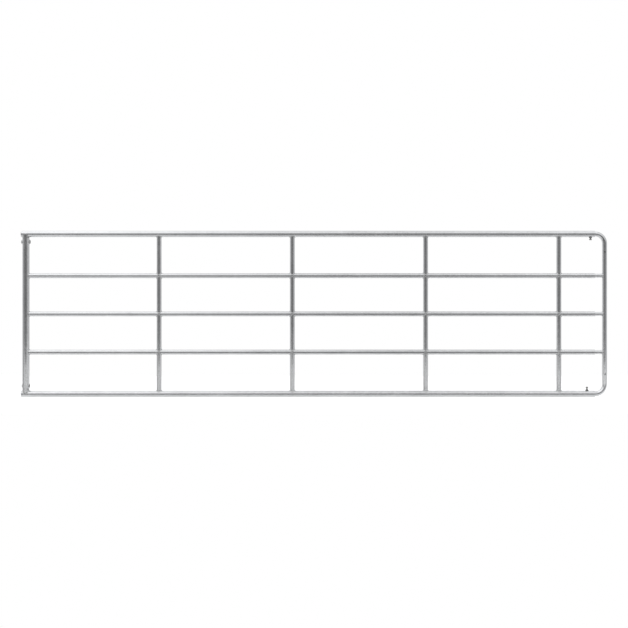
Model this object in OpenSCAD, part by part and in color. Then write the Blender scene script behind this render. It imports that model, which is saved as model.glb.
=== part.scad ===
// Extending five-bar livestock gate in round galvanised tube, millimetres.
// The leaf hangs from the two hinge sleeves in its hanging stile. A bow of smaller tube,
// with one slide tube for each infill rail, telescopes out of the rails' open ends and is
// clamped by two locking screws. X runs from the hinges to the slam end, Z is up, and the
// origin is the middle of the top hinge sleeve.

/* [Gate] */
// Closed length, from the hinge end of the rails to the outside of the slam stile
closed_length = 3960; // [3000:10:5400]
// Height from the underside of the bottom rail to the top of the top rail
leaf_height = 1122; // [950:1:1500]
// Distance between the infill rails' centre lines
infill_pitch = 258; // [180:1:330]
// Number of stays across the leaf, at one pitch from the hanging stile
stay_count = 4; // [1:1:5]
// Distance from the last stay's centre line to the rails' slam end
end_bay = 242; // [120:1:500]

/* [Tubes] */
// Outside diameter of the top and bottom rails
rail_od = 42.4; // [38:0.1:60.3]
// Wall of the top and bottom rails
rail_wall = 3.2; // [2:0.1:4]
// Outside diameter of the infill rails
infill_od = 33.7; // [30:0.1:42.4]
// Wall of the infill rails
infill_wall = 2.6; // [1.5:0.1:3.2]
// Outside diameter of the hanging stile
stile_od = 48.3; // [42.4:0.1:76.1]
// Wall of the hanging stile
stile_wall = 3.2; // [2:0.1:5]
// Outside diameter of the stays
stay_od = 33.7; // [21.3:0.1:40]
// Wall of the stays
stay_wall = 2.6; // [1.5:0.1:4]
// Wall of the slam bow
bow_wall = 3.2; // [2:0.1:4]
// Wall of the slide tubes
slide_wall = 2.6; // [1.5:0.1:4]

/* [Hanging stile] */
// Drop from the underside of the top rail to the middle of the top hinge sleeve
top_hinge_drop = 31.8; // [30:0.1:200]
// Rise from the top of the bottom rail to the middle of the bottom hinge sleeve
bottom_hinge_rise = 33.8; // [30:0.1:200]
// Outside diameter of the hinge sleeves
sleeve_od = 26.9; // [25:0.1:32]
// Bore of the hinge sleeves
sleeve_bore = 21; // [16:0.1:22]
// Stand-out of the top hinge sleeve from each side of the stile
top_sleeve_stand = 5; // [3:0.5:12]
// Stand-out of the bottom hinge sleeve from each side of the stile
bottom_sleeve_stand = 1; // [0.5:0.5:12]
// Overhang of the top and bottom rails past the stile, without their caps
rail_overhang = 4; // [2:1:60]
// Height of the domed head of a rail cap
cap_dome = 6; // [3:0.5:7]
// Length of a rail cap's plug inside the rail
cap_plug = 14; // [8:1:30]
// Diameter of the hanging stile's vent holes
vent_d = 9; // [5:0.5:10]
// Drop from the underside of the top rail to the middle of the upper vent holes
top_vent_drop = 1.5; // [1:0.5:12]
// Rise from the top of the bottom rail to the middle of the lower vent holes
bottom_vent_rise = 10; // [1:0.5:12]

/* [Slam bow] */
// Centre-line radius of the bow's two bends
bend_r = 64; // [50:1:110]
// Length of tube inside each rail when the gate is closed
slide_reach = 1000; // [500:10:1200]
// Gap between the rails' ends and the start of the bends when closed
close_gap = 3; // [1:0.5:20]
// Diameter of the vent holes in the slam stile's face
slam_vent_d = 10; // [6:0.5:12]
// Drop from the end of the top bend to the upper vent hole
slam_vent_drop = 58; // [20:1:150]
// Rise from the end of the bottom bend to the lower vent hole
slam_vent_rise = 70; // [20:1:150]

/* [Locking screws] */
// Thread diameter of the locking screws
lock_d = 10; // [8:1:12]
// Width across the flats of the nuts and the screw heads
lock_flats = 17; // [16:0.5:20]
// Height of a welded nut
nut_height = 8; // [6:0.5:10]
// Height of a screw head
head_height = 6.4; // [5:0.1:8]
// Bare shank between the nut and the head of the top screw
top_lock_stand = 5.5; // [2:0.5:20]
// Bare shank between the nut and the head of the bottom screw
bottom_lock_stand = 12; // [2:0.5:20]
// Distance from the top rail's slam end to its locking screw
top_lock_inset = 28; // [15:1:80]
// Distance from the bottom rail's slam end to its locking screw
bottom_lock_inset = 52; // [15:1:80]

/* [Fits] */
// Radial clearance of the slam bow's legs in the top and bottom rails
bow_play = 1.15; // [0.5:0.05:2]
// Radial clearance of a slide tube in its infill rail
slide_play = 0.8; // [0.4:0.05:1.5]
// Gap between a saddle-cut tube end and the tube it is welded to
weld_gap = 0.3; // [0.1:0.1:0.6]
// Height at which the points of a saddle cut are trimmed, from the other tube's centre line
saddle_trim = 5; // [4:0.5:8]
// Radial clearance of a locking screw in its nut
thread_play = 0.08; // [0.03:0.01:0.1]
// Radial clearance of a locking screw in the rail's drilled hole
drill_play = 0.75; // [0.3:0.05:1.5]
// Gap between the tip of a locking screw and the tube that it clamps
tip_gap = 0.3; // [0.1:0.1:0.6]
// Radial clearance of a rail cap's plug in the rail
cap_play = 0.2; // [0.1:0.05:0.5]
// Radial clearance of a hinge sleeve in the stile
sleeve_play = 0.2; // [0.1:0.05:0.5]

/* [Hidden] */
$fn = 64;
cut = 2;                      // how far a cutter runs past what it cuts
head_chamfer = 1.2;           // chamfer on the corners of a screw head and a nut
point_chamfer = 1.5;          // chamfer on the point of a locking screw
vent_turn = 50;               // angle of a vent hole from the leaf's face towards the slam end
steel = "#A9ADB0";            // dull zinc
bright = "#BFC3C6";           // newer zinc on the sliding tubes
screw_zinc = "#8D8F90";       // plated fasteners

// The sliding tubes' diameters, from the bores that they slide in
bow_od = rail_od - 2 * rail_wall - 2 * bow_play;
slide_od = infill_od - 2 * infill_wall - 2 * slide_play;

// Heights of the five rails and of the bottom hinge sleeve
top_z = rail_od / 2 + top_hinge_drop;
bottom_z = top_z - (leaf_height - rail_od);
middle_z = (top_z + bottom_z) / 2;
upper_z = middle_z + infill_pitch;
lower_z = middle_z - infill_pitch;
bottom_hinge_z = bottom_z + rail_od / 2 + bottom_hinge_rise;

// Places along the gate
rail_start_x = -(stile_od / 2 + rail_overhang);
hinge_end_x = rail_start_x - cap_dome;
slam_x = hinge_end_x + closed_length - bow_od / 2;
bend_x = slam_x - bend_r;
rail_end_x = bend_x - close_gap;
stay_pitch = (rail_end_x - end_bay) / stay_count;
slide_start_x = rail_end_x - slide_reach;
top_lock_x = rail_end_x - top_lock_inset;
bottom_lock_x = rail_end_x - bottom_lock_inset;

// The gaps between the rails, from the top: name, heights and diameters of the rails above and below
GAPS = [
    ["top", top_z, rail_od, upper_z, infill_od],
    ["upper", upper_z, infill_od, middle_z, infill_od],
    ["lower", middle_z, infill_od, lower_z, infill_od],
    ["bottom", lower_z, infill_od, bottom_z, rail_od]
];

function stay_name(n, gap) = str("stay_", n, "_", gap[0]);

// A rod of diameter d along X, from x0 to x1, at height z
module rod_x(d, x0, x1, z) {
    translate([x0, 0, z])
        rotate([0, 90, 0])
            cylinder(d = d, h = x1 - x0);
}

// A tube along X, from x0 to x1, at height z
module tube_x(od, wall, x0, x1, z) {
    difference() {
        rod_x(od, x0, x1, z);
        rod_x(od - 2 * wall, x0 - cut, x1 + cut, z);
    }
}

// Puts a locking screw's parts at a rail's centre line, pointing up (side 1) or down (side -1)
module at_lock(x, z, side) {
    translate([x, 0, z])
        rotate([side < 0 ? 180 : 0, 0, 0])
            children();
}

// A tube along Z, from z0 to z1, at place x
module tube_z(od, wall, x, z0, z1) {
    translate([x, 0, z0])
        difference() {
            cylinder(d = od, h = z1 - z0);
            translate([0, 0, -cut])
                cylinder(d = od - 2 * wall, h = z1 - z0 + 2 * cut);
        }
}

// An upright between two rails, its ends saddle-cut to them and their points trimmed
module upright(od, wall, x, gap) {
    z_high = gap[1] - saddle_trim;
    z_low = gap[3] + saddle_trim;
    difference() {
        tube_z(od, wall, x, z_low, z_high);
        rod_x(gap[2] + 2 * weld_gap, x - od, x + od, gap[1]);
        rod_x(gap[4] + 2 * weld_gap, x - od, x + od, gap[3]);
    }
}

// The two vent holes beside a rail, towards the slam end on both faces of the stile
module vent_holes(z) {
    for (side = [-1, 1])
        translate([0, 0, z])
            rotate([0, 0, side * (90 - vent_turn)])
                rotate([0, 90, 0])
                    cylinder(d = vent_d, h = stile_od);
}

module hanging_stile() {
    color(steel)
        difference() {
            upright(stile_od, stile_wall, 0, ["stile", top_z, rail_od, bottom_z, rail_od]);
            for (z = [0, bottom_hinge_z])
                rod_x(sleeve_od + 2 * sleeve_play, -stile_od, stile_od, z);
            vent_holes(top_z - rail_od / 2 - top_vent_drop);
            vent_holes(bottom_z + rail_od / 2 + bottom_vent_rise);
        }
}

// A sleeve through the stile, for the threaded end of a hinge eye
module hinge_sleeve(stand, z) {
    half = stile_od / 2 + stand;
    color(steel)
        tube_x(sleeve_od, (sleeve_od - sleeve_bore) / 2, -half, half, z);
}

// The top or bottom rail, drilled for its locking screw on the side that faces the infill
module outer_rail(z, lock_x, side) {
    color(steel)
        difference() {
            tube_x(rail_od, rail_wall, rail_start_x, rail_end_x, z);
            at_lock(lock_x, z, side)
                cylinder(d = lock_d + 2 * drill_play, h = rail_od);
        }
}

// An infill rail, saddle-cut to the hanging stile and open at the slam end
module infill_rail(z) {
    color(steel)
        difference() {
            tube_x(infill_od, infill_wall, saddle_trim, rail_end_x, z);
            translate([0, 0, z - infill_od])
                cylinder(d = stile_od + 2 * weld_gap, h = 2 * infill_od);
        }
}

// A cap with a domed head as wide as the rail and a plug inside it
module rail_cap(z) {
    dome_r = (pow(rail_od / 2, 2) + pow(cap_dome, 2)) / (2 * cap_dome);
    plug_d = rail_od - 2 * rail_wall - 2 * cap_play;
    color(steel) {
        intersection() {
            rod_x(rail_od, hinge_end_x - cut, rail_start_x, z);
            translate([hinge_end_x + dome_r, 0, z])
                sphere(r = dome_r);
        }
        rod_x(plug_d, rail_start_x, rail_start_x + cap_plug, z);
    }
}

module stay(n, gap) {
    color(steel)
        upright(stay_od, stay_wall, n * stay_pitch, gap);
}

// A hexagon with its outer corners chamfered at the far end, standing on z = 0
module hexagon(height) {
    corner_d = lock_flats / cos(30);
    intersection() {
        cylinder(d = corner_d, h = height, $fn = 6);
        union() {
            cylinder(d = corner_d + cut, h = height - head_chamfer);
            translate([0, 0, height - head_chamfer])
                cylinder(d1 = corner_d + cut, d2 = corner_d + cut - 4 * head_chamfer, h = head_chamfer);
        }
    }
}

// A nut welded over the rail's drilled hole
module lock_nut(x, z, side) {
    color(steel)
        at_lock(x, z, side)
            translate([0, 0, rail_od / 2 + weld_gap])
                difference() {
                    hexagon(nut_height);
                    translate([0, 0, -cut])
                        cylinder(d = lock_d, h = nut_height + 2 * cut);
                }
}

// A hexagon-head screw whose point bears on the bow inside the rail
module lock_screw(x, z, side, stand) {
    point = bow_od / 2 + tip_gap;
    head = rail_od / 2 + weld_gap + nut_height + stand;
    shank_d = lock_d - 2 * thread_play;
    color(screw_zinc)
        at_lock(x, z, side) {
            translate([0, 0, point])
                cylinder(d1 = shank_d - 2 * point_chamfer, d2 = shank_d, h = point_chamfer);
            translate([0, 0, point + point_chamfer])
                cylinder(d = shank_d, h = head - point - point_chamfer);
            translate([0, 0, head])
                hexagon(head_height);
        }
}

// A quarter bend of the bow's tube, from the leg at height z to the slam stile
module bend(z, side) {
    translate([bend_x, 0, z - side * bend_r])
        rotate([90, 0, 0])
            rotate([0, 0, side > 0 ? 0 : -90])
                rotate_extrude(angle = 90)
                    translate([bend_r, 0])
                        difference() {
                            circle(d = bow_od);
                            circle(d = bow_od - 2 * bow_wall);
                        }
}

// The slam stile with its two bends and legs, bent from one tube and vented through its face
module slam_bow() {
    vent_z = [top_z - bend_r - slam_vent_drop, bottom_z + bend_r + slam_vent_rise];
    color(bright)
        difference() {
            union() {
                tube_x(bow_od, bow_wall, slide_start_x, bend_x, top_z);
                tube_x(bow_od, bow_wall, slide_start_x, bend_x, bottom_z);
                tube_z(bow_od, bow_wall, slam_x, bottom_z + bend_r, top_z - bend_r);
                bend(top_z, 1);
                bend(bottom_z, -1);
            }
            for (z = vent_z)
                translate([slam_x, 0, z])
                    rotate([90, 0, 0])
                        cylinder(d = slam_vent_d, h = bow_od);
        }
}

// A tube that slides in an infill rail, saddle-cut to the slam stile
module slide_tube(z) {
    color(bright)
        difference() {
            tube_x(slide_od, slide_wall, slide_start_x, slam_x - saddle_trim, z);
            translate([slam_x, 0, z - slide_od])
                cylinder(d = bow_od + 2 * weld_gap, h = 2 * slide_od);
        }
}

hanging_stile();
hinge_sleeve(top_sleeve_stand, 0);  // top_hinge_sleeve
hinge_sleeve(bottom_sleeve_stand, bottom_hinge_z);  // bottom_hinge_sleeve
outer_rail(top_z, top_lock_x, -1);  // top_rail
infill_rail(upper_z);  // upper_rail
infill_rail(middle_z);  // middle_rail
infill_rail(lower_z);  // lower_rail
outer_rail(bottom_z, bottom_lock_x, 1);  // bottom_rail
rail_cap(top_z);  // top_rail_cap
rail_cap(bottom_z);  // bottom_rail_cap
for (n = [1:stay_count])
    for (gap = GAPS)
        stay(n, gap);
lock_nut(top_lock_x, top_z, -1);  // top_lock_nut
lock_nut(bottom_lock_x, bottom_z, 1);  // bottom_lock_nut
lock_screw(top_lock_x, top_z, -1, top_lock_stand);  // top_lock_screw
lock_screw(bottom_lock_x, bottom_z, 1, bottom_lock_stand);  // bottom_lock_screw
slam_bow();
slide_tube(upper_z);  // upper_slide_tube
slide_tube(middle_z);  // middle_slide_tube
slide_tube(lower_z);  // lower_slide_tube
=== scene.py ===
# Extending five-bar livestock gate: finishes, weld beads, fasteners, light and camera,
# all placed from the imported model.
import math
import bpy
import numpy as np
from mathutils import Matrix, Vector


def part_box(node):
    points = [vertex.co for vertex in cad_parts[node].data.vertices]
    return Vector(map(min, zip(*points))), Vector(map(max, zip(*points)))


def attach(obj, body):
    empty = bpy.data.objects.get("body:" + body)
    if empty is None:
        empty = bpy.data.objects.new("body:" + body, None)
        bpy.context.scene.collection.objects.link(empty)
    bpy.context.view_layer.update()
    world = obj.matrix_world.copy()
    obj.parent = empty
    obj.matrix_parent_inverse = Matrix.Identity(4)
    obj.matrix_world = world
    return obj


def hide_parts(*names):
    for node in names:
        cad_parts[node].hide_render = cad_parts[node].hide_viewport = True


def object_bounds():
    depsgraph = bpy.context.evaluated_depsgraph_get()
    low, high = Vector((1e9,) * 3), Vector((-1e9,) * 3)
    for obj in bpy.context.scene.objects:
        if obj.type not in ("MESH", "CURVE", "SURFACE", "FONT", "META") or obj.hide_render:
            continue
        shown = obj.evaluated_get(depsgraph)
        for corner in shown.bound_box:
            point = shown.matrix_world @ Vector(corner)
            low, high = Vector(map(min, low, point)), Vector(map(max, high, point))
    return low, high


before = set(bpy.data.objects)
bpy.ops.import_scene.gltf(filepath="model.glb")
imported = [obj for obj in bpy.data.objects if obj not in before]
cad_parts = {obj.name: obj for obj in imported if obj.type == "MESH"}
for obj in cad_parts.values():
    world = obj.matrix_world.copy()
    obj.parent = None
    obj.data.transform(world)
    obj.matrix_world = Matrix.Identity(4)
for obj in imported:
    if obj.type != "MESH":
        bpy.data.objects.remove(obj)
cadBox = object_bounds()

mm = 0.001
fullTurn = 2 * math.pi
chance = np.random.default_rng(41)
print("frame loaded:", len(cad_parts), "parts")


# Where a tube lies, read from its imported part: one along X, then one along Z.
def tubeAlongX(node):
    low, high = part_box(node)
    return {"z": (low.z + high.z) / 2, "r": (high.z - low.z) / 2, "start": low.x, "end": high.x}


def tubeAlongZ(node):
    low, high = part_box(node)
    return {"x": (low.x + high.x) / 2, "r": (high.x - low.x) / 2, "bottom": low.z, "top": high.z}


railNames = ["top_rail", "upper_rail", "middle_rail", "lower_rail", "bottom_rail"]
gapNames = ["top", "upper", "lower", "bottom"]
slideNames = ["upper_slide_tube", "middle_slide_tube", "lower_slide_tube"]
stayCount = sum(name.startswith("stay_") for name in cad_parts) // len(gapNames)
rails = [tubeAlongX(name) for name in railNames]
stile = tubeAlongZ("hanging_stile")
slides = [tubeAlongX(name) for name in slideNames]
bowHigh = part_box("slam_bow")[1]
slam = {"x": bowHigh.x - bowHigh.y, "r": bowHigh.y}
alongX, alongZ, up, down = (1, 0, 0), (0, 0, 1), (0, 0, 1), (0, 0, -1)


# Quads of a grid of points, row by row, wrapped round where a direction is closed.
def gridFaces(rows, columns, closeRows, closeColumns):
    i = np.arange(rows if closeRows else rows - 1)[:, None]
    j = np.arange(columns if closeColumns else columns - 1)[None, :]
    nextI, nextJ = (i + 1) % rows, (j + 1) % columns
    corners = (i * columns + j, i * columns + nextJ, nextI * columns + nextJ, nextI * columns + j)
    return np.stack([c + 0 * (i + j) for c in corners], -1).reshape(-1, 4)


# Six times the volume inside a shell is the sum of a . (b x c) over its triangles, taken as
# fans from each face's first corner; where it is negative every face is turned over.
def turnedOutward(points, blocks):
    volume = 0.0
    for faces in blocks:
        a = points[faces[:, 0]]
        for k in range(1, faces.shape[1] - 1):
            volume += np.einsum("ij,ij->i", a, np.cross(points[faces[:, k]], points[faces[:, k + 1]])).sum()
    return points, [faces[:, ::-1] if volume < 0 else faces for faces in blocks]


# A ring-shaped shell: rows and columns of points both come round to where they start.
def ringShell(rings):
    points = rings.reshape(-1, 3)
    return turnedOutward(points, [gridFaces(*rings.shape[:2], True, True)])


# A rod-shaped shell: rings of points, with a fan to the middle of the first and the last ring.
def rodShell(rings):
    rows, around = rings.shape[:2]
    points = np.concatenate([rings.reshape(-1, 3), rings[:1].mean(1), rings[-1:].mean(1)])
    here = np.arange(around)
    there = (here + 1) % around
    last = (rows - 1) * around
    firstFan = np.stack([np.full(around, rows * around), there, here], -1)
    lastFan = np.stack([np.full(around, rows * around + 1), last + here, last + there], -1)
    return turnedOutward(points, [gridFaces(rows, around, False, True), firstFan, lastFan])


# One object from closed shells, each a pair of points and blocks of faces.
def makePiece(name, shells, material, body, replaced=(), sharpAngle=None):
    points, faces, first = [], [], 0
    for shellPoints, blocks in shells:
        points.append(shellPoints)
        for block in blocks:
            faces.extend((block + first).tolist())
        first += len(shellPoints)
    mesh = bpy.data.meshes.new(name)
    mesh.from_pydata(np.concatenate(points).tolist(), [], faces)
    mesh.polygons.foreach_set("use_smooth", np.ones(len(mesh.polygons), bool))
    if sharpAngle:
        mesh.set_sharp_from_angle(angle=math.radians(sharpAngle))
    mesh.materials.append(material)
    mesh.update()
    piece = bpy.data.objects.new(name, mesh)
    bpy.context.scene.collection.objects.link(piece)
    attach(piece, body)
    if replaced:
        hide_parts(*replaced)
    return piece


def unit(vectors):
    return vectors / np.linalg.norm(vectors, axis=-1, keepdims=True)


# sRGB hex to linear: c / 12.92 near black, ((c + 0.055) / 1.055) ^ 2.4 above.
def linear(code):
    c = np.array([int(code[k:k + 2], 16) for k in (1, 3, 5)]) / 255
    return (*np.where(c <= 0.04045, c / 12.92, ((c + 0.055) / 1.055) ** 2.4).tolist(), 1.0)


# One node with its settings; an input is a value or the output that feeds it.
def addNode(tree, kind, inputs=None, **settings):
    node = tree.nodes.new(kind)
    for key, value in settings.items():
        setattr(node, key, value)
    for key, value in (inputs or {}).items():
        if isinstance(value, bpy.types.NodeSocket):
            tree.links.new(value, node.inputs[key])
        else:
            node.inputs[key].default_value = value
    return node


# Steel dipped in molten zinc after welding: soft grey metal that froze in faint crystals, each
# with its own tilt and tone, under a cloudy bloom, with fine lines left by drawing the tube, and
# runs where the zinc drained. The crystals are a real size. The drawn lines are a few tenths of a
# millimetre apart on real tube and are made 1.6 mm here, so that they show.
def hotDipZinc(name, look):
    material = bpy.data.materials.new(name)
    material.use_nodes = True
    tree = material.node_tree
    tree.nodes.clear()
    coords = addNode(tree, "ShaderNodeTexCoord").outputs["Object"]

    # crystals with feathered borders
    feather = addNode(tree, "ShaderNodeTexNoise",
                      {"Vector": coords, "Scale": 1 / look["feather"], "Detail": 3.0})
    offset = addNode(tree, "ShaderNodeVectorMath",
                     {0: feather.outputs["Color"], 1: (0.5, 0.5, 0.5)}, operation="SUBTRACT")
    reach = look["crystal"] * look["featherShare"]
    shift = addNode(tree, "ShaderNodeVectorMath", {0: offset.outputs[0], "Scale": reach}, operation="SCALE")
    moved = addNode(tree, "ShaderNodeVectorMath", {0: coords, 1: shift.outputs[0]}, operation="ADD")
    crystals = addNode(tree, "ShaderNodeTexVoronoi",
                       {"Vector": moved.outputs[0], "Scale": 1 / look["crystal"]})
    crystalTone = addNode(tree, "ShaderNodeSeparateColor", {0: crystals.outputs["Color"]}).outputs[0]

    # bloom in broad clouds, lines drawn along the tube, and slow runs of thicker zinc
    bloom = addNode(tree, "ShaderNodeTexNoise",
                    {"Vector": coords, "Scale": 1 / look["bloom"],
                     "Detail": 4.0, "Roughness": 0.6}).outputs[0]
    along = addNode(tree, "ShaderNodeMapping", {"Vector": coords, "Scale": look["along"]})
    drawn = addNode(tree, "ShaderNodeTexNoise",
                    {"Vector": along.outputs[0], "Scale": 1 / look["drawnLine"], "Detail": 2.0}).outputs[0]
    runs = addNode(tree, "ShaderNodeTexNoise",
                   {"Vector": coords, "Scale": 1 / look["runs"], "Detail": 2.0}).outputs[0]

    # tone and roughness: part from the crystal, part from the bloom
    toneSum = addNode(tree, "ShaderNodeMath", {0: crystalTone, 1: look["crystalShare"], 2: bloom},
                      operation="MULTIPLY_ADD").outputs[0]
    low, high = 0.3, 0.7 + look["crystalShare"]      # the sum's usual range
    tone = addNode(tree, "ShaderNodeMapRange",
                   {"Value": toneSum, "From Min": low, "From Max": high}).outputs[0]
    colour = addNode(tree, "ShaderNodeMix", {0: tone, 6: linear(look["dark"]), 7: linear(look["pale"])},
                     data_type="RGBA").outputs[2]
    rough = addNode(tree, "ShaderNodeMapRange",
                    {"Value": toneSum, "From Min": low, "From Max": high,
                     "To Min": look["rough"][0], "To Max": look["rough"][1]}).outputs[0]

    # painted shade: a sleeve's bore is painted near-black for the shade inside the recess, within boreRadius
    # of an X axis at each boreHeight
    place = addNode(tree, "ShaderNodeSeparateXYZ", {0: coords})
    y, z = place.outputs[1], place.outputs[2]
    for boreHeight in look.get("boreHeights", ()):
        rise = addNode(tree, "ShaderNodeMath", {0: z, 1: boreHeight}, operation="SUBTRACT").outputs[0]
        across = addNode(tree, "ShaderNodeMath", {0: y, 1: y}, operation="MULTIPLY")
        square = addNode(tree, "ShaderNodeMath", {0: rise, 1: rise, 2: across.outputs[0]},
                         operation="MULTIPLY_ADD")
        inside = addNode(tree, "ShaderNodeMath", {0: square.outputs[0], 1: look["boreRadius"] ** 2},
                         operation="LESS_THAN").outputs[0]
        colour = addNode(tree, "ShaderNodeMix", {0: inside, 6: colour, 7: linear(look["boreShade"])},
                         data_type="RGBA").outputs[2]

    # each crystal is tilted a little against the tube's surface
    tilt = addNode(tree, "ShaderNodeVectorMath",
                   {0: crystals.outputs["Color"], 1: (0.5, 0.5, 0.5)}, operation="SUBTRACT")
    lean = addNode(tree, "ShaderNodeVectorMath",
                   {0: tilt.outputs[0], "Scale": look["tilt"]}, operation="SCALE")
    surface = addNode(tree, "ShaderNodeNewGeometry").outputs["Normal"]
    leaning = addNode(tree, "ShaderNodeVectorMath", {0: surface, 1: lean.outputs[0]}, operation="ADD")
    normal = addNode(tree, "ShaderNodeVectorMath", {0: leaning.outputs[0]}, operation="NORMALIZE")
    runRise = addNode(tree, "ShaderNodeMath", {0: runs, 1: look["runHeight"]}, operation="MULTIPLY")
    height = addNode(tree, "ShaderNodeMath",
                     {0: drawn, 1: look["drawnHeight"], 2: runRise.outputs[0]}, operation="MULTIPLY_ADD")
    bump = addNode(tree, "ShaderNodeBump", {"Height": height.outputs[0], "Normal": normal.outputs[0],
                                            "Distance": mm, "Strength": 1.0})
    metal = addNode(tree, "ShaderNodeBsdfPrincipled",
                    {"Base Color": colour, "Metallic": 1.0, "Roughness": rough, "Normal": bump.outputs[0]})
    addNode(tree, "ShaderNodeOutputMaterial", {"Surface": metal.outputs[0]})
    return material


railLook = {
    "pale": "#C6C7C8", "dark": "#B3B4B5", "crystalShare": 0.35,
    "crystal": 9 * mm, "feather": 2.5 * mm, "featherShare": 0.6, "bloom": 160 * mm,
    "along": (0.04, 1.0, 1.0), "drawnLine": 1.6 * mm, "runs": 45 * mm,
    "runHeight": 0.03, "drawnHeight": 0.008,      # mm
    "tilt": 0.008, "rough": (0.13, 0.21),
}
uprightLook = {**railLook, "along": (1.0, 1.0, 0.04)}
slideLook = {
    **railLook, "pale": "#CACBCC", "dark": "#B9BABB",
    "crystal": 6 * mm, "tilt": 0.006, "rough": (0.11, 0.18),
}
sleeveLook = {
    # boreShade is painted shade: the near-black laid on the inside of each sleeve's bore
    **railLook, "pale": "#B4B5B5", "dark": "#9A9B9B", "boreShade": "#2E2C2A",
    "boreHeights": [tubeAlongX(f"{end}_hinge_sleeve")["z"] for end in ("top", "bottom")],
    "boreRadius": 11.2 * mm, "rough": (0.28, 0.4),
}
weldLook = {
    **railLook, "pale": "#BDBEBE", "dark": "#9C9D9D", "crystalShare": 0.6,
    "crystal": 4 * mm, "along": (1.0, 1.0, 1.0), "runs": 6 * mm, "tilt": 0.03, "rough": (0.28, 0.42),
}
nutLook = {
    **weldLook, "pale": "#8B8C8C", "dark": "#626362", "crystal": 2 * mm, "rough": (0.42, 0.58),
}
railZinc = hotDipZinc("hotDipZincOnRails", railLook)
uprightZinc = hotDipZinc("hotDipZincOnUprights", uprightLook)
slideZinc = hotDipZinc("hotDipZincOnSlidingTube", slideLook)
sleeveZinc = hotDipZinc("hotDipZincOnSleeves", sleeveLook)
weldZinc = hotDipZinc("hotDipZincOverWelds", weldLook)
nutZinc = hotDipZinc("scorchedZincOnNuts", nutLook)


# Electroplated bolt steel: thinner, yellower and duller zinc than the dip, darker where a
# spanner and the weather have worn it; grime sits in cells about as wide as the thread.
def platedSteel(name, look):
    material = bpy.data.materials.new(name)
    material.use_nodes = True
    tree = material.node_tree
    tree.nodes.clear()
    coords = addNode(tree, "ShaderNodeTexCoord").outputs["Object"]
    grime = addNode(tree, "ShaderNodeTexNoise",
                    {"Vector": coords, "Scale": 1 / look["grime"],
                     "Detail": 5.0, "Roughness": 0.65}).outputs[0]
    low, high = look["grimeRange"]
    amount = addNode(tree, "ShaderNodeMapRange",
                     {"Value": grime, "From Min": low, "From Max": high}).outputs[0]
    colour = addNode(tree, "ShaderNodeMix",
                     {0: amount, 6: linear(look["worn"]), 7: linear(look["plate"])},
                     data_type="RGBA").outputs[2]
    rough = addNode(tree, "ShaderNodeMapRange",
                    {"Value": grime, "From Min": low, "From Max": high,
                     "To Min": look["rough"][1], "To Max": look["rough"][0]}).outputs[0]
    bump = addNode(tree, "ShaderNodeBump", {"Height": grime, "Distance": look["pitDepth"], "Strength": 1.0})
    metal = addNode(tree, "ShaderNodeBsdfPrincipled",
                    {"Base Color": colour, "Metallic": 1.0, "Roughness": rough, "Normal": bump.outputs[0]})
    addNode(tree, "ShaderNodeOutputMaterial", {"Surface": metal.outputs[0]})
    return material


screwLook = {
    "plate": "#9B9B97", "worn": "#706F6B", "grime": 1.5 * mm, "grimeRange": (0.35, 0.65),
    "pitDepth": 0.04 * mm, "rough": (0.32, 0.52),
}
screwZinc = platedSteel("zincPlatedBoltSteel", screwLook)

finishes = {
    "sliding_tube": slideZinc, "plated_screw": screwZinc, "hinge_sleeve": sleeveZinc,
    "welded_nut": nutZinc, "pressed_cap": weldZinc,
}
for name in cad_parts:
    holder = bpy.data.objects[name].material_slots[0]
    tubeZinc = railZinc if name.endswith("rail") else uprightZinc
    slotName = holder.material.name.split(".")[0]
    holder.material = finishes.get(slotName, tubeZinc)
print("finishes on")


bead = {
    "halfWidth": 3.4 * mm, "cornerRise": 3.0 * mm, "flatRise": 1.3 * mm, "depth": 1.2 * mm,
    "ripple": 4.2 * mm, "rippleHeight": 0.35 * mm, "wander": 0.09,
    "stepsPerRipple": 7, "around": 14, "tipRound": 5.6 * mm, "trail": 0.6, "fewest": 6,
}


# A bead round a closed joint line. pathAt(t) gives the line's points and the two surfaces'
# normals for t from 0 to 2 pi. The bead's section is an ellipse across the line, taller
# in a corner (normals at right angles) than on flat metal; its height carries rounded
# ripples |sin(pi s / pitch)| that trail back at the edges, and both axes wander slowly.
def weldBead(pathAt, scale=1.0):
    coarse = pathAt(np.linspace(0, fullTurn, 400, endpoint=False))[0]
    length = np.linalg.norm(np.roll(coarse, -1, 0) - coarse, axis=1).sum()
    ripples = max(bead["fewest"], round(length / (bead["ripple"] * scale)))
    t = np.linspace(0, fullTurn, ripples * bead["stepsPerRipple"], endpoint=False)
    line, normalA, normalB = pathAt(t)
    outward = unit(normalA + normalB)
    tangent = unit(np.roll(line, -1, 0) - np.roll(line, 1, 0))
    side = unit(np.cross(tangent, outward))
    flat = np.clip(np.einsum("ij,ij->i", normalA, normalB), 0, 1)
    share = np.cumsum(np.linalg.norm(np.roll(line, -1, 0) - line, axis=1)) / length
    turns = np.arange(2, 8)
    phase = chance.uniform(0, fullTurn, (2, len(turns)))
    wander = [(np.cos(fullTurn * share[:, None] * turns + p) / turns ** 0.5).sum(1) * bead["wander"]
              for p in phase]
    v = np.linspace(0, fullTurn, bead["around"], endpoint=False)[None, :]
    across, rising = np.cos(v), np.sin(v)
    wave = np.abs(np.sin(math.pi * (share[:, None] * ripples + bead["trail"] * across ** 2))) - 0.6
    width = bead["halfWidth"] * scale * (1 + wander[0])[:, None]
    rise = (bead["cornerRise"] + (bead["flatRise"] - bead["cornerRise"]) * flat)[:, None] * scale
    rise = rise * (1 + wander[1])[:, None] + bead["rippleHeight"] * scale * wave
    lift = np.where(rising > 0, rise, bead["depth"] * scale) * rising
    return ringShell(line[:, None, :] + side[:, None, :] * (width * across)[..., None]
                     + outward[:, None, :] * lift[..., None])


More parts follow.
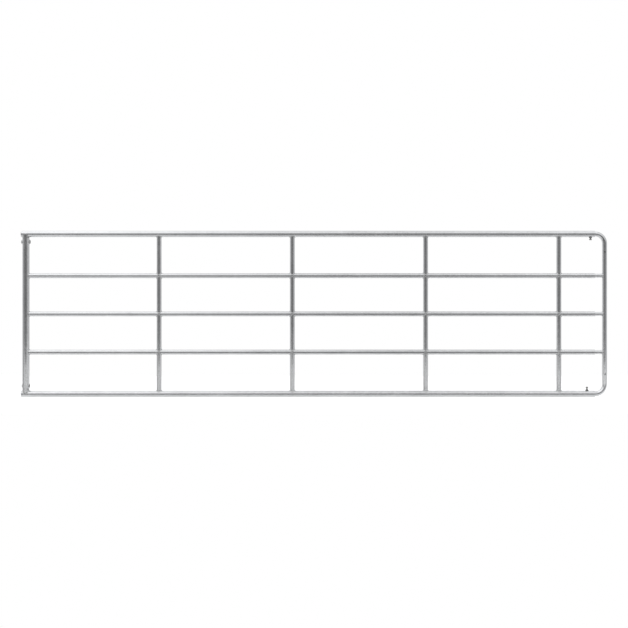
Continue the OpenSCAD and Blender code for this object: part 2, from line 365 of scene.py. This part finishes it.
# Joint line of a tube that butts onto another at right angles: round the branch,
# y = branchR sin t across the main tube and height sqrt(mainR^2 - y^2 + tipRound^2) along the
# branch. reach holds y back where the branch is the wider tube.
def saddle(centre, mainAxis, branchAxis, mainR, branchR, tipRound=0.0, reach=None):
    centre, m, a = (np.array(v, float) for v in (centre, mainAxis, branchAxis))
    k = np.cross(a, m)

    def pathAt(t):
        y = branchR * np.sin(t)
        if reach:
            y = np.clip(y, -reach, reach)
        z = np.sqrt(np.maximum(mainR ** 2 - y ** 2, 0) + tipRound ** 2)
        line = centre + np.outer(branchR * np.cos(t), m) + np.outer(y, k) + np.outer(z, a)
        normalA = np.outer(np.cos(t), m) + np.outer(np.sin(t), k)
        return line, normalA, unit(np.outer(y, k) + np.outer(z, a))

    return pathAt


for n in range(1, stayCount + 1):
    beads = []
    for k, gap in enumerate(gapNames):
        stay = tubeAlongZ(f"stay_{n}_{gap}")
        for rail, direction in ((rails[k], down), (rails[k + 1], up)):
            beads.append(weldBead(saddle((stay["x"], 0, rail["z"]), alongX, direction,
                                         rail["r"], stay["r"], bead["tipRound"])))
    makePiece(f"stay_{n}_welds", beads, weldZinc, "leaf")

stileBead = {"scale": 0.85, "tipRound": 4 * mm, "pastRail": 0.3 * mm}
beads = []
for rail, direction in ((rails[0], down), (rails[-1], up)):
    joint = saddle((0, 0, rail["z"]), alongX, direction, rail["r"], stile["r"],
                   stileBead["tipRound"], reach=rail["r"] + stileBead["pastRail"])
    beads.append(weldBead(joint, stileBead["scale"]))
for rail in rails[1:-1]:
    beads.append(weldBead(saddle((0, 0, rail["z"]), alongZ, alongX, stile["r"], rail["r"])))
makePiece("hanging_stile_welds", beads, weldZinc, "leaf")

sleeveBeads = {"top_hinge_sleeve": 0.45, "bottom_hinge_sleeve": 0.3}
beads = []
for name, scale in sleeveBeads.items():
    sleeve = tubeAlongX(name)
    for way in (1, -1):
        joint = saddle((0, 0, sleeve["z"]), alongZ, (way, 0, 0), stile["r"], sleeve["r"])
        beads.append(weldBead(joint, scale))
makePiece("hinge_sleeve_welds", beads, sleeveZinc, "leaf")

slideBeadScale = 0.85
beads = [weldBead(saddle((slam["x"], 0, tube["z"]), alongZ, (-1, 0, 0), slam["r"], tube["r"]), slideBeadScale)
         for tube in slides]
makePiece("slam_stile_welds", beads, weldZinc, "slam_end")


capBead = {"scale": 0.45, "inset": 1.75 * mm, "ahead": 1.1 * mm}


# A circle round the X axis at height z: its line turns with t, one normal points along the
# axis towards the hinge end and the other out from the axis.
def circleLine(x, z, radius):
    def pathAt(t):
        radial = np.stack([0 * t, np.cos(t), np.sin(t)], -1)
        endward = np.broadcast_to((-1.0, 0.0, 0.0), radial.shape)
        return np.array([x, 0, z]) + radius * radial, endward, radial

    return pathAt


beads = [weldBead(circleLine(rail["start"] - capBead["ahead"], rail["z"], rail["r"] - capBead["inset"]),
                  capBead["scale"]) for rail in (rails[0], rails[-1])]
makePiece("rail_cap_welds", beads, weldZinc, "leaf")
print("welds laid")


# The zinc leaves a rounded lip on a sawn tube end: an ellipse as wide as the tube's wall,
# carried round the mouth, swelling a little past the cut.
lip = {"outerWall": 3.2 * mm, "infillWall": 2.6 * mm, "swell": 0.7 * mm, "around": 12, "steps": 72}


def tubeLip(x, z, outerRadius, wall):
    t = np.linspace(0, fullTurn, lip["steps"], endpoint=False)[:, None]
    v = np.linspace(0, fullTurn, lip["around"], endpoint=False)[None, :]
    radius = outerRadius - wall / 2 * (1 - np.cos(v))
    along = x + lip["swell"] * np.sin(v)
    return ringShell(np.stack([along + 0 * t, radius * np.cos(t), z + radius * np.sin(t)], -1))


lips = [tubeLip(rail["end"], rail["z"], rail["r"], lip["outerWall"] if rail in (rails[0], rails[-1])
                else lip["infillWall"]) for rail in rails]
makePiece("rail_mouth_lips", lips, railZinc, "leaf")
print("rail mouths rounded")


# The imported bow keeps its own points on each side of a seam, which creases the shading where the
# bends begin. Points in the same place become one, and the same faces are laid on them.
def mergedShell(node):
    mesh = bpy.data.objects[node].data
    points = np.empty(len(mesh.vertices) * 3, np.float32)
    mesh.vertices.foreach_get("co", points)
    corners = np.empty(len(mesh.loops), int)
    mesh.loops.foreach_get("vertex_index", corners)
    merged, place = np.unique(points.reshape(-1, 3), axis=0, return_inverse=True)
    return merged.astype(float), [place.reshape(-1)[corners].reshape(-1, 3)]


makePiece("slam_bow_smooth", [mergedShell("slam_bow")], slideZinc, "slam_end",
          ["slam_bow"], sharpAngle=30)
print("bow smoothed")


thread = {
    "major": 4.92 * mm, "minor": 4.1 * mm, "pitch": 1.5 * mm, "boreCrest": 5.0 * mm, "boreRoot": 5.45 * mm,
    "rowsPerTurn": 12, "around": 72, "runout": 1.5 * mm, "point": 1.5 * mm, "pointRadius": 3.4 * mm,
}
head = {"height": 6.4 * mm, "washerHeight": 0.5 * mm, "washerShare": 0.96, "topShare": 0.93}
nutShape = {"crownShare": 0.95, "footShare": 0.98, "countersink": 0.6 * mm, "rootSlack": 0.2 * mm,
            "footHeight": 0.6 * mm, "footRows": 4}
crown = {"height": 2.2 * mm, "rows": 12}      # the part of a hexagon that its 30 degree cone cuts
creaseAngle = 28
theta = np.linspace(0, fullTurn, thread["around"], endpoint=False)[None, :]


# Height of a 60 degree thread's flank, 0 in the root and 1 on the crest: a triangle wave of
# s / pitch - theta / 2 pi with its root and crest cut flat.
def threadWave(s):
    turn = (s / thread["pitch"] - theta / fullTurn) % 1
    return np.clip((np.abs(2 * turn - 1) - 0.2) / 0.6, 0, 1)


# Distance from the axis to a hexagon's side: half the flats over cos of the angle from the
# middle of the nearest flat.
def hexagonRadius(acrossFlats):
    return acrossFlats / 2 / np.cos((theta + math.pi / 6) % (math.pi / 3) - math.pi / 6)


# Rings at distances s along a fastener's axis, which points up or down from the rail's axis.
def placedRings(s, radius, x, z, way):
    s, radius = s + 0 * theta, radius + 0 * theta
    return np.stack([x + radius * np.cos(theta), radius * np.sin(theta), z + way * s], -1)


# A screw's profile from point to head: a cone up to the thread, which fades into plain shank,
# then a washer face and a hexagon whose corners a 30 degree cone cuts back.
def lockScrew(start, end, acrossFlats, x, z, way):
    under = end - head["height"]
    shankRows = round((under - start) / thread["pitch"] * thread["rowsPerTurn"])
    s = np.linspace(start, under, shankRows)[:, None]
    fade = np.clip((under - s) / thread["runout"], 0, 1)
    threaded = thread["major"] - (thread["major"] - thread["minor"]) * fade * (1 - threadWave(s))
    cone = thread["pointRadius"] + (s - start) * (thread["major"] - thread["pointRadius"]) / thread["point"]
    shank = np.minimum(threaded, cone)
    washer = acrossFlats / 2 * head["washerShare"]
    face = np.array([under, under + head["washerHeight"]])[:, None]
    sides = np.concatenate([[under + head["washerHeight"]],
                            np.linspace(end - crown["height"], end, crown["rows"])])[:, None]
    corner = acrossFlats / 2 * head["topShare"] + (end - sides) * math.sqrt(3)
    hexagon = np.minimum(hexagonRadius(acrossFlats), corner)
    washerRings = np.full((2, thread["around"]), washer)
    profile = np.concatenate([shank, washerRings, hexagon])
    return rodShell(placedRings(np.concatenate([s, face, sides]), profile, x, z, way))


# A nut's section carried round its bore: the hexagon outside, cut back at its crown, and inside
# a thread whose flanks face the screw's, opened by a countersink at both ends.
def lockNut(start, end, acrossFlats, x, z, way):
    footRows = np.linspace(start, start + nutShape["footHeight"], nutShape["footRows"])
    crownRows = np.linspace(end - crown["height"], end, crown["rows"])
    outer = np.concatenate([footRows, crownRows])[:, None]
    top = acrossFlats / 2 * nutShape["crownShare"] + (end - outer) * math.sqrt(3)
    foot = acrossFlats / 2 * nutShape["footShare"] + (outer - start) * math.sqrt(3)
    hexagon = np.minimum(hexagonRadius(acrossFlats), np.minimum(top, foot))
    boreRows = round((end - start) / thread["pitch"] * thread["rowsPerTurn"])
    s = np.linspace(end, start, boreRows)[:, None]
    bore = thread["boreCrest"] + (thread["boreRoot"] - thread["boreCrest"]) * threadWave(s)
    nearEnd = np.minimum(end - s, s - start)
    opened = thread["boreRoot"] + nutShape["rootSlack"] + nutShape["countersink"] - nearEnd
    bore = np.maximum(bore, opened)
    return ringShell(placedRings(np.concatenate([outer, s]), np.concatenate([hexagon, bore]), x, z, way))


nutFoot = {"middle": 0.535, "swell": 0.033, "beadScale": 0.62}      # middle and swell are shares of the flats


# Joint line of a nut's foot on its rail: a hexagon rounded to r = middle + swell cos 6t, laid on
# the rail's surface at height sqrt(R^2 - y^2).
def nutFootLine(x, z, way, railRadius, acrossFlats):
    def pathAt(t):
        radius = acrossFlats * (nutFoot["middle"] + nutFoot["swell"] * np.cos(6 * t))
        y = radius * np.sin(t)
        height = np.sqrt(railRadius ** 2 - y ** 2)
        line = np.stack([x + radius * np.cos(t), y, z + way * height], -1)
        radial = np.stack([np.cos(t), np.sin(t), 0 * t], -1)
        return line, radial, unit(np.stack([0 * t, y, way * height], -1))

    return pathAt


beads = []
for end, rail, way in (("top", rails[0], -1), ("bottom", rails[-1], 1)):
    nutLow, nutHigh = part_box(f"{end}_lock_nut")
    screwLow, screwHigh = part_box(f"{end}_lock_screw")
    x = (nutLow.x + nutHigh.x) / 2
    flats = nutHigh.y - nutLow.y
    nutEnds = sorted(abs(v - rail["z"]) for v in (nutLow.z, nutHigh.z))
    screwEnds = sorted(abs(v - rail["z"]) for v in (screwLow.z, screwHigh.z))
    makePiece(f"{end}_lock_nut_threaded", [lockNut(*nutEnds, flats, x, rail["z"], way)], nutZinc,
              "leaf", [f"{end}_lock_nut"], sharpAngle=creaseAngle)
    makePiece(f"{end}_lock_screw_threaded", [lockScrew(*screwEnds, flats, x, rail["z"], way)], screwZinc,
              f"{end}_screw", [f"{end}_lock_screw"], sharpAngle=creaseAngle)
    beads.append(weldBead(nutFootLine(x, rail["z"], way, rail["r"], flats), nutFoot["beadScale"]))
makePiece("lock_nut_welds", beads, nutZinc, "leaf")
print("locks made")


lowBox, highBox = cadBox
middle = (lowBox + highBox) / 2
floor = {"drop": 90 * mm, "front": 0.26, "back": 5.0, "beside": 3.2, "colour": "#F0F0F0"}
floorZ = lowBox.z - floor["drop"]
left, right = lowBox.x - floor["beside"], highBox.x + floor["beside"]
corners = [(left, -floor["front"], floorZ), (right, -floor["front"], floorZ),
           (right, floor["back"], floorZ), (left, floor["back"], floorZ)]
floorMesh = bpy.data.meshes.new("studio_floor")
floorMesh.from_pydata(corners, [], [(0, 1, 2, 3)])
paint = bpy.data.materials.new("mattPaintedFloor")
paint.use_nodes = True
paint.node_tree.nodes["Principled BSDF"].inputs["Base Color"].default_value = linear(floor["colour"])
paint.node_tree.nodes["Principled BSDF"].inputs["Roughness"].default_value = 0.9
floorMesh.materials.append(paint)
floorPlane = bpy.data.objects.new("studio_floor", floorMesh)
bpy.context.scene.collection.objects.link(floorPlane)

# What the metal mirrors, by height z of the direction: ahead of the gate a dark band round the
# horizon under a pale sky, behind it a grey band. Strengths are shares of the studio's white.
studio = {
    "white": "#FDFDFE", "strength": 1.6,
    "ahead": {-1.0: 0.58, -0.62: 0.52, -0.4: 0.08, -0.12: 0.07, -0.03: 0.18, 0.03: 0.18, 0.1: 0.07,
              0.24: 0.62, 0.5: 0.80, 1.0: 0.86},
    "behind": {-1.0: 0.58, -0.2: 0.55, 0.0: 0.56, 0.5: 0.55, 0.85: 0.74, 1.0: 0.86},
    "aheadAngle": -12, "turn": (-0.2, 1.0),     # the dark band's middle, and cosines from behind to ahead
    "dipAt": 0.04, "dipWidth": 0.2, "dip": (0.8, 1.14),     # the sky's middle is a little dimmer,
    "sideways": 0.21, "sideShare": (1.12, 0.88),            # and its left is brighter than its right
}
world = bpy.data.worlds.new("softStudio")
bpy.context.scene.world = world
world.use_nodes = True
tree = world.node_tree
tree.nodes.clear()
skyPoint = addNode(tree, "ShaderNodeTexCoord").outputs["Generated"]
direction = addNode(tree, "ShaderNodeSeparateXYZ", {0: skyPoint})
x, y, z = (direction.outputs[k] for k in range(3))
xx = addNode(tree, "ShaderNodeMath", {0: x, 1: x}, operation="MULTIPLY").outputs[0]
flatLength = addNode(tree, "ShaderNodeMath", {0: y, 1: y, 2: xx}, operation="MULTIPLY_ADD").outputs[0]
flatLength = addNode(tree, "ShaderNodeMath", {0: flatLength}, operation="SQRT").outputs[0]
aheadAngle = math.radians(studio["aheadAngle"])
yShare = addNode(tree, "ShaderNodeMath", {0: y, 1: -math.cos(aheadAngle)}, operation="MULTIPLY").outputs[0]
towardFront = addNode(tree, "ShaderNodeMath", {0: x, 1: math.sin(aheadAngle), 2: yShare},
                      operation="MULTIPLY_ADD").outputs[0]
towardFront = addNode(tree, "ShaderNodeMath", {0: towardFront, 1: flatLength},
                      operation="DIVIDE").outputs[0]
aheadShare = addNode(tree, "ShaderNodeMapRange",
                     {"Value": towardFront, "From Min": studio["turn"][0], "From Max": studio["turn"][1]},
                     interpolation_type="SMOOTHSTEP").outputs[0]
heightShare = addNode(tree, "ShaderNodeMapRange",
                      {"Value": z, "From Min": -1.0, "From Max": 1.0}).outputs[0]
bands = {}
for side in ("ahead", "behind"):
    band = addNode(tree, "ShaderNodeValToRGB", {0: heightShare})
    stops = sorted(studio[side].items())
    while len(band.color_ramp.elements) < len(stops):
        band.color_ramp.elements.new(0.5)
    for element, (height, share) in zip(band.color_ramp.elements, stops):
        element.position = (height + 1) / 2
        element.color = (share, share, share, 1)
    bands[side] = band.outputs[0]
shade = addNode(tree, "ShaderNodeMix", {0: aheadShare, 6: bands["behind"], 7: bands["ahead"]},
                data_type="RGBA").outputs[2]
tint = addNode(tree, "ShaderNodeMix", {0: 1.0, 6: shade, 7: linear(studio["white"])},
               data_type="RGBA", blend_type="MULTIPLY").outputs[2]
sideways = addNode(tree, "ShaderNodeMath", {0: x, 1: studio["dipAt"]}, operation="SUBTRACT").outputs[0]
sideways = addNode(tree, "ShaderNodeMath", {0: sideways}, operation="ABSOLUTE").outputs[0]
dipLow, dipHigh = (share * studio["strength"] for share in studio["dip"])
dip = addNode(tree, "ShaderNodeMapRange",
              {"Value": sideways, "From Min": 0.0, "From Max": studio["dipWidth"],
               "To Min": dipLow, "To Max": dipHigh},
              interpolation_type="SMOOTHSTEP").outputs[0]
sideShare = addNode(tree, "ShaderNodeMapRange",
                    {"Value": x, "From Min": -studio["sideways"], "From Max": studio["sideways"],
                     "To Min": studio["sideShare"][0], "To Max": studio["sideShare"][1]}).outputs[0]
strength = addNode(tree, "ShaderNodeMath", {0: dip, 1: sideShare}, operation="MULTIPLY").outputs[0]
seenByMetal = addNode(tree, "ShaderNodeBackground", {"Color": tint, "Strength": strength}).outputs[0]
backdrop = addNode(tree, "ShaderNodeBackground", {"Color": (1, 1, 1, 1), "Strength": 1.0}).outputs[0]
straight = addNode(tree, "ShaderNodeLightPath").outputs["Is Camera Ray"]
mixed = addNode(tree, "ShaderNodeMixShader", {0: straight, 1: seenByMetal, 2: backdrop}).outputs[0]
addNode(tree, "ShaderNodeOutputWorld", {"Surface": mixed})

# a soft light overhead, a long low strip in front that lifts the feet of the uprights, and a
# wash over the floor that no metal mirrors
lamps = {
    "overhead_softbox": {"size": (6.0, 3.0), "at": (middle.x, -0.6, middle.z + 3.2), "tip": 0, "glow": 0.3,
                         "mirrored": True},
    "low_strip": {"size": (12.0, 0.3), "at": (middle.x, -3.0, floorZ + 0.04), "tip": 90, "glow": 1.1,
                  "mirrored": True},
    "floor_wash": {"size": (7.0, 3.0), "at": (middle.x, 0.6, middle.z + 2.6), "tip": 0, "glow": 0.5,
                   "mirrored": False},
}
for name, lamp in lamps.items():
    light = bpy.data.lights.new(name, "AREA")
    light.shape, light.size, light.size_y = "RECTANGLE", *lamp["size"]
    light.energy = lamp["glow"] * math.pi * lamp["size"][0] * lamp["size"][1]
    held = bpy.data.objects.new(name, light)
    held.location = lamp["at"]
    held.rotation_euler = (math.radians(lamp["tip"]), 0, 0)
    held.visible_camera = False
    held.visible_glossy = lamp["mirrored"]
    bpy.context.scene.collection.objects.link(held)

view = {"distance": 9.0, "frameWidth": 4.2425, "sensor": 36.0, "aside": 0.6 * mm, "below": 0.7 * mm}
lens = bpy.data.cameras.new("front_camera")
lens.sensor_width = view["sensor"]
lens.lens = view["sensor"] * view["distance"] / view["frameWidth"]
lens.clip_end = 100
camera = bpy.data.objects.new("front_camera", lens)
camera.location = (middle.x + view["aside"], -view["distance"], middle.z - view["below"])
camera.rotation_euler = (math.radians(90), 0, 0)
bpy.context.scene.collection.objects.link(camera)
bpy.context.scene.camera = camera
bpy.context.scene.view_settings.view_transform = "Standard"
print("stage, light and camera set")
